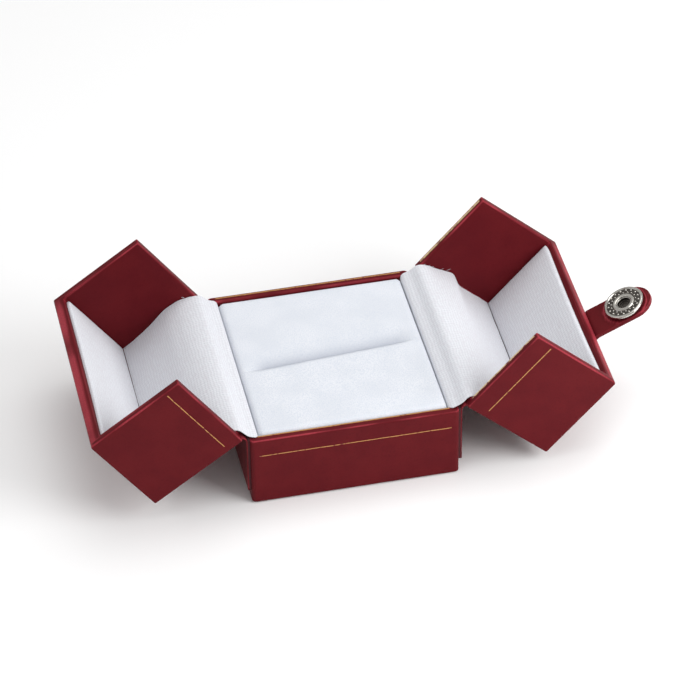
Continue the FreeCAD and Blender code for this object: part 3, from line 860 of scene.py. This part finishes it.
def make_frayed_threads(side, count, seed):
    """Loose threads along the cloth's cut back edge, where it stands over the door's edge."""
    chance = random.Random(seed)
    sign = SIDES[side]
    places, _ = through(lining_points(side, CLOTH_LIFTS[side]["back"]), 110)
    hinge_x = JOINTS["right_hinge"]["pos_m"][0]
    held = [p for p in places if hinge_x + 2 * MM < p.x < hinge_x + 11 * MM]
    half = door_hollow(side)[1].y
    threads = []
    for i in range(count):
        root = held[int((i + chance.random()) / count * len(held))]
        long = (0.5 + 1.1 * chance.random() ** 2) * MM
        deselect()
        bpy.ops.curve.primitive_bezier_curve_add()
        thread = bpy.context.object
        spline = thread.data.splines[0]
        lean = Vector((sign * chance.uniform(-0.7, 0.9), -0.35, 0.9)).normalized()
        start = Vector((sign * root.x, half - 0.45 * MM, root.z))
        end = start + lean * long
        bends = Vector((0, 0, 0.3)), Vector((sign * 0.4, 0, 0.1))
        for point, place, bend in zip(spline.bezier_points, (start, end), bends):
            point.co = place
            point.handle_left = place - bend * long
            point.handle_right = place + bend * long
        thread.data.bevel_depth = 0.035 * MM
        thread.data.bevel_resolution = 1
        thread.data.resolution_u = 5
        alone(thread)
        bpy.ops.object.convert(target="MESH")
        threads.append(bpy.context.object)
    bundle = joined(f"{side}_frayed_threads", threads)
    bundle.data.uv_layers.new(name="weave")
    dressed(smooth(bundle, 60), CLOTH)
    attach(bundle, f"{side}_door")


# ---------------------------------------------------------------- hinge skins

def make_hinge_skin(side):
    """One strip of leatherette, glued to the tray's side, over the fold and onto the door."""
    sign = SIDES[side]
    tray_low, tray_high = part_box(f"hinge_leather_{side}")
    door_low, door_high = mirrored(side, *closed_box(f"hinge_leather_{side}_door", side))
    tray_x = mirrored(side, *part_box(f"hinge_card_{side}"))[1].x + WRAP / 2
    door_x = door_low.x + WRAP / 2
    hinge = Vector(JOINTS["right_hinge"]["pos_m"])
    points = [
        Vector((tray_x, 0, tray_low.z)),
        Vector((tray_x, 0, hinge.z - 6 * MM)),
        Vector((tray_x + 0.02 * MM, 0, hinge.z - 1.4 * MM)),
        Vector((tray_x + 0.12 * MM, 0, hinge.z - 0.5 * MM)),
        Vector((hinge.x, 0, hinge.z - 0.02 * MM)),
        opened(side, door_x + 0.02 * MM, door_low.z),
        opened(side, door_x + 0.02 * MM, door_low.z + 1.2 * MM),
        opened(side, door_x, door_low.z + 6 * MM),
        opened(side, door_x, door_high.z),
    ]
    rows, across = 70, 30
    line, _ = through(points, rows)
    skin = cloth_blank(f"{side}_hinge_skin", rows - 1, across)
    for vertex in skin.data.vertices:
        point = line[round((vertex.co.x + 1) / 2 * (rows - 1))]
        vertex.co = (sign * point.x, vertex.co.y * tray_high.y, point.z)
    skin.data.update()
    thickened(skin, WRAP * 0.92)
    mark_worn_and_lit_edges(skin, math.radians(60))
    dressed(smooth(skin, 50), LEATHERETTE)
    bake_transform(skin)
    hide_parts(f"hinge_leather_{side}", f"hinge_leather_{side}_door")


# ---------------------------------------------------------------- strap and snap

def strap_line():
    """Where the strap leaves the closed door's edge, its bend, and its directions along and out."""
    bend = opening("right").inverted() @ Vector(JOINTS["strap_bend"]["pos_m"])
    low, high = closed_box("right_cover", "right")
    edge = Vector((low.x, bend.y, high.z + STRAP_LAYER))
    along = (bend - edge).normalized()
    outer = Vector((-along.z, 0, along.x))
    return edge, bend, along, outer if outer.z > 0 else -outer


def strap_place():
    """The strap's own axes, along, sideways and out, at its bend with the door open."""
    _, bend, along, outer = strap_line()
    axes = Matrix((along, outer.cross(along), outer)).transposed().to_4x4()
    return opening("right") @ Matrix.Translation(bend) @ axes


def make_strap_layer(label, low, high):
    """One leatherette layer of the strap, from its glued root to its round end."""
    edge, bend, along, outer = strap_line()
    place = strap_place()
    root_x = closed_box("strap_root_inner", "right")[1].x
    half = (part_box("strap_outer")[1].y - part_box("strap_outer")[0].y) / 2
    origin = place.translation
    axis = (place.to_3x3() @ Vector((1, 0, 0))).normalized()
    reach = span("strap_outer", origin, axis)[1]
    snap = sum(span("snap_socket", origin, axis)) / 2
    stub = (bend - edge).length
    root = root_x - edge.x
    total = root + stub + reach
    straight = total - half
    # a short arc carries the strap off the door's top and up
    bend_radius = 2.2 * MM
    angle = math.acos(-along.x)
    arc = bend_radius * angle
    before = root - bend_radius * math.tan(angle / 2)
    # the socket's edge presses up a ring round itself in the inner layer
    ring_radius, ring_width, ring_height = 5.45 * MM, 0.35 * MM, 0.16 * MM
    rows, across = 96, 14
    strip = cloth_blank(f"strap_{label}_layer", rows, across)
    offset = (low + high) / 2
    for vertex in strip.data.vertices:
        u = (vertex.co.x + 1) / 2 * total
        v = vertex.co.y
        if u > straight:
            p = (u - straight) / half
            u = straight + half * p * math.sqrt(1 - v * v / 2)
            v = v * math.sqrt(1 - p * p / 2)
        y = edge.y + v * half
        if u <= before:
            centre = Vector((root_x - u, 0, edge.z))
            normal = Vector((0, 0, 1))
        elif u <= before + arc:
            turned = (u - before) / bend_radius
            centre = Vector((root_x - before - bend_radius * math.sin(turned), 0,
                             edge.z + bend_radius * (1 - math.cos(turned))))
            normal = Vector((math.sin(turned), 0, math.cos(turned)))
        else:
            centre = edge + along * (u - root)
            normal = outer
        from_snap = math.hypot(u - root - stub - snap, y - edge.y)
        swell = math.exp(-(((from_snap - ring_radius) / ring_width) ** 2)) * (label == "inner")
        point = centre + normal * (offset - ring_height * swell)
        vertex.co = (point.x, y, point.z)
    strip.data.update()
    thickened(strip, (high - low) * 0.94)
    finished_with(strip, "BEVEL", width=0.14 * MM, segments=3, limit_method="ANGLE",
                  angle_limit=math.radians(50))
    settle(strip, opening("right"))
    mark_worn_and_lit_edges(strip)
    dressed(smooth(strip, 50), LEATHERETTE)
    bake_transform(strip)
    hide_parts(f"strap_root_{label}", f"strap_{label}")


def make_snap():
    """The snap's socket on the strap's inner side and its cap on the outer one, clenched together
    by a hollow post. The face carries a ring of plain beads."""
    place = strap_place()
    origin = place.translation
    axes = place.to_3x3()
    along, up = axes @ Vector((1, 0, 0)), axes @ Vector((0, 0, 1))
    low, high = span("snap_socket", origin, along)
    centre = (low + high) / 2
    radius = (high - low) / 2
    face, foot = span("snap_socket", origin, up)
    _, crown = span("snap_cap", origin, up)
    cap_low, cap_high = span("snap_cap", origin, along)
    cap = (cap_high - cap_low) / 2
    at = place @ Matrix.Translation((centre, 0, 0))
    mouth = 1.85 * MM
    waist = cap - 0.25 * MM
    socket = lathe("snap_socket_ring", (
        (1.25 * MM, foot), (waist, foot), (cap, foot - 0.1 * MM), (cap, foot - 0.3 * MM),
        (waist, foot - 0.4 * MM), (waist, foot - 0.62 * MM),
        (radius - 0.3 * MM, foot - 0.66 * MM),
        (radius - 0.06 * MM, foot - 0.74 * MM), (radius, foot - 0.86 * MM),
        (radius, face + 0.34 * MM), (radius - 0.05 * MM, face + 0.18 * MM),
        (radius - 0.18 * MM, face + 0.05 * MM), (radius - 0.38 * MM, face),
        (radius - 0.6 * MM, face + 0.03 * MM), (radius - 0.76 * MM, face + 0.24 * MM),
        (mouth + 0.95 * MM, face + 0.26 * MM), (mouth + 0.78 * MM, face + 0.06 * MM),
        (mouth + 0.55 * MM, face), (mouth + 0.22 * MM, face + 0.03 * MM),
        (mouth + 0.04 * MM, face + 0.14 * MM), (mouth, face + 0.3 * MM),
        (mouth + 0.3 * MM, face + 0.34 * MM), (mouth + 0.3 * MM, foot - 0.4 * MM),
        (1.25 * MM, foot - 0.36 * MM), (1.25 * MM, foot)), at, 72)
    channel = lathe("snap_socket_channel", (
        (mouth + 0.93 * MM, face + 0.20 * MM), (radius - 0.75 * MM, face + 0.18 * MM),
        (radius - 0.75 * MM, face + 0.27 * MM), (mouth + 0.93 * MM, face + 0.27 * MM),
        (mouth + 0.93 * MM, face + 0.20 * MM)), at, 72)
    ring = (radius - 0.74 * MM + mouth + 0.95 * MM) / 2
    beads = []
    count = 17
    for i in range(count):
        angle = 2 * math.pi * i / count
        for shift, size in ((0.34 * MM, 0.27 * MM), (-0.36 * MM, 0.21 * MM)):
            deselect()
            turn = angle + (math.pi / count if shift < 0 else 0)
            bpy.ops.mesh.primitive_ico_sphere_add(
                subdivisions=2, radius=size,
                location=(math.cos(turn) * (ring + shift), math.sin(turn) * (ring + shift),
                          face + 0.18 * MM), scale=(1, 1, 0.8))
            beads.append(bpy.context.object)
    bead_ring = smooth(settle(joined("snap_socket_beads", beads), at), 60)
    rivet = lathe("snap_hollow_rivet", (
        (0.02 * MM, foot - 0.12 * MM), (0.65 * MM, foot - 0.12 * MM),
        (0.72 * MM, foot - 0.31 * MM), (0.92 * MM, foot - 0.34 * MM),
        (1.1 * MM, foot - 0.26 * MM), (1.1 * MM, foot - 0.05 * MM),
        (0.02 * MM, foot - 0.05 * MM)), at, 40)
    dome = lathe("snap_cap_dome", (
        (0.02 * MM, foot - 0.04 * MM), (1.2 * MM, foot - 0.04 * MM), (1.2 * MM, -foot),
        (cap - 0.25 * MM, -foot), (cap, -foot + 0.1 * MM), (cap, -foot + 0.24 * MM),
        (cap - 0.25 * MM, -foot + 0.36 * MM), (cap * 0.8, crown - 0.2 * MM),
        (cap * 0.6, crown - 0.08 * MM), (cap * 0.35, crown - 0.01 * MM),
        (0.02 * MM, crown)), at)
    well = lathe("snap_socket_well", (
        (1.15 * MM, foot - 0.42 * MM), (mouth + 0.2 * MM, foot - 0.42 * MM),
        (mouth + 0.2 * MM, foot - 0.45 * MM), (1.15 * MM, foot - 0.45 * MM),
        (1.15 * MM, foot - 0.42 * MM)), at, 40)
    for piece, metal in ((socket, NICKEL), (channel, NICKEL_WELL), (bead_ring, NICKEL),
                         (rivet, NICKEL_WELL), (dome, NICKEL), (well, NICKEL_WELL)):
        dressed(piece, metal)
        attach(piece, "strap")
    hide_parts("snap_socket")
    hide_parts("snap_cap")


def make_stud():
    """The stud on the left door's top, with its rivet head inside the door."""
    low, high = closed_box("snap_stud", "left")
    middle = (low + high) / 2
    radius = (high.x - low.x) / 2
    height = high.z - low.z
    at = opening("left") @ Matrix.Translation((middle.x, middle.y, low.z))
    neck, head, flange = 1.42 * MM, 1.72 * MM, 0.35 * MM
    stud = lathe("snap_stud_turned", (
        (0.02 * MM, 0), (radius - 0.08 * MM, 0), (radius, 0.07 * MM), (radius - 0.03 * MM, 0.16 * MM),
        (radius - 0.25 * MM, 0.28 * MM), (radius - 0.8 * MM, flange), (neck + 0.25 * MM, flange),
        (neck, flange + 0.12 * MM), (neck, height - 0.3 * MM), (head, height - 0.16 * MM),
        (head - 0.02 * MM, height - 0.07 * MM), (head - 0.16 * MM, height),
        (0.7 * MM, height), (0.55 * MM, height - 0.12 * MM), (0.02 * MM, height - 0.14 * MM)), at)
    dressed(stud, NICKEL)
    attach(stud, "left_door")
    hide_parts("snap_stud")


# ---------------------------------------------------------------- build

tray_wrap = make_tray_wrap()
for line in ("line_base_front", "line_base_back", "rim_front", "rim_back"):
    make_foil(f"foil_{line}", tray_wrap)
for side_name in SIDES:
    door_wrap = make_door_wrap(side_name)
    for kind in ("line", "edge") if side_name == "right" else ("line",):
        for end in ("front", "back"):
            make_foil(f"foil_{kind}_{side_name}_{end}", door_wrap, side_name)
    make_hinge_skin(side_name)
    make_lining(side_name)
    make_top_lining(side_name)
make_frayed_threads("right", 9, 11)
make_frayed_threads("left", 4, 23)
for pad_label in ("front", "back"):
    make_pad_half(pad_label)
make_strap_layer("inner", -STRAP_LAYER, 0.0)
make_strap_layer("outer", 0.0, STRAP_LAYER)
make_snap()
make_stud()

# CAD nodes whose shape is right keep it, and get their finish here.
SLOT_FINISHES = {"grey_board": BOARD, "base_paper": BASE_PAPER, "nickel": NICKEL,
                 "spring_steel": SPRING, "leatherette": LEATHERETTE, "lining_cloth": CLOTH,
                 "velvet": VELVET, "foam": VELVET, "gold_foil": FOIL}
for subpart in frame["record"]["subparts"]:
    slot_name = subpart["material_slot"]
    on_hinge = subpart["node"].startswith("hinge_card")
    dressed(frame["nodes"][subpart["node"]], BASE_PAPER if on_hinge else SLOT_FINISHES[slot_name])


# ---------------------------------------------------------------- studio

def make_studio():
    deselect()
    bpy.ops.mesh.primitive_plane_add(size=6, location=(0, 0, -0.02 * MM))
    floor = bpy.context.object
    floor.name = "studio_floor"
    paper = finish("white_paper_floor", Roughness=0.9, Base_Color=linear("#FBFBFB"))[0]
    floor.data.materials.append(paper)
    world = bpy.data.worlds.new("studio")
    bpy.context.scene.world = world
    world.use_nodes = True
    background = world.node_tree.nodes["Background"]
    background.inputs["Color"].default_value = linear("#FFFFFF")
    background.inputs["Strength"].default_value = 0.58
    for name, place, size, power in (("key", (0.25, -0.19, 0.20), 0.24, 0.88),
                                     ("fill", (-0.50, -0.12, 0.34), 0.5, 0.42),
                                     ("top", (0.08, 0.12, 0.60), 0.5, 1.25)):
        light = bpy.data.lights.new(name, "AREA")
        light.energy = power
        light.size = size
        lamp = bpy.data.objects.new(name, light)
        bpy.context.scene.collection.objects.link(lamp)
        lamp.location = place
        lamp.rotation_euler = (Vector((0, 0, 0.01)) - Vector(place)).to_track_quat(
            "-Z", "Y").to_euler()
    bpy.context.scene.view_settings.view_transform = "Standard"


def make_camera():
    """The view from a little left of the front, well above the box."""
    azimuth, elevation, roll = (math.radians(a) for a in (-11.8, 39.294, -0.832))
    target = Vector((6.977, 11.035, 10.021)) * MM
    distance = 942.254 * MM
    camera = bpy.data.objects.new("camera", bpy.data.cameras.new("camera"))
    bpy.context.scene.collection.objects.link(camera)
    back = Vector((math.sin(azimuth) * math.cos(elevation),
                   -math.cos(azimuth) * math.cos(elevation), math.sin(elevation)))
    camera.location = target + back * distance
    camera.rotation_mode = "QUATERNION"
    camera.rotation_quaternion = ((-back).to_track_quat("-Z", "Y")
                                  @ Quaternion((0, 0, 1), roll))
    camera.data.sensor_width = 36
    camera.data.lens = 199.779
    camera.data.clip_start, camera.data.clip_end = 0.05, 10
    bpy.context.scene.camera = camera


make_studio()
make_camera()
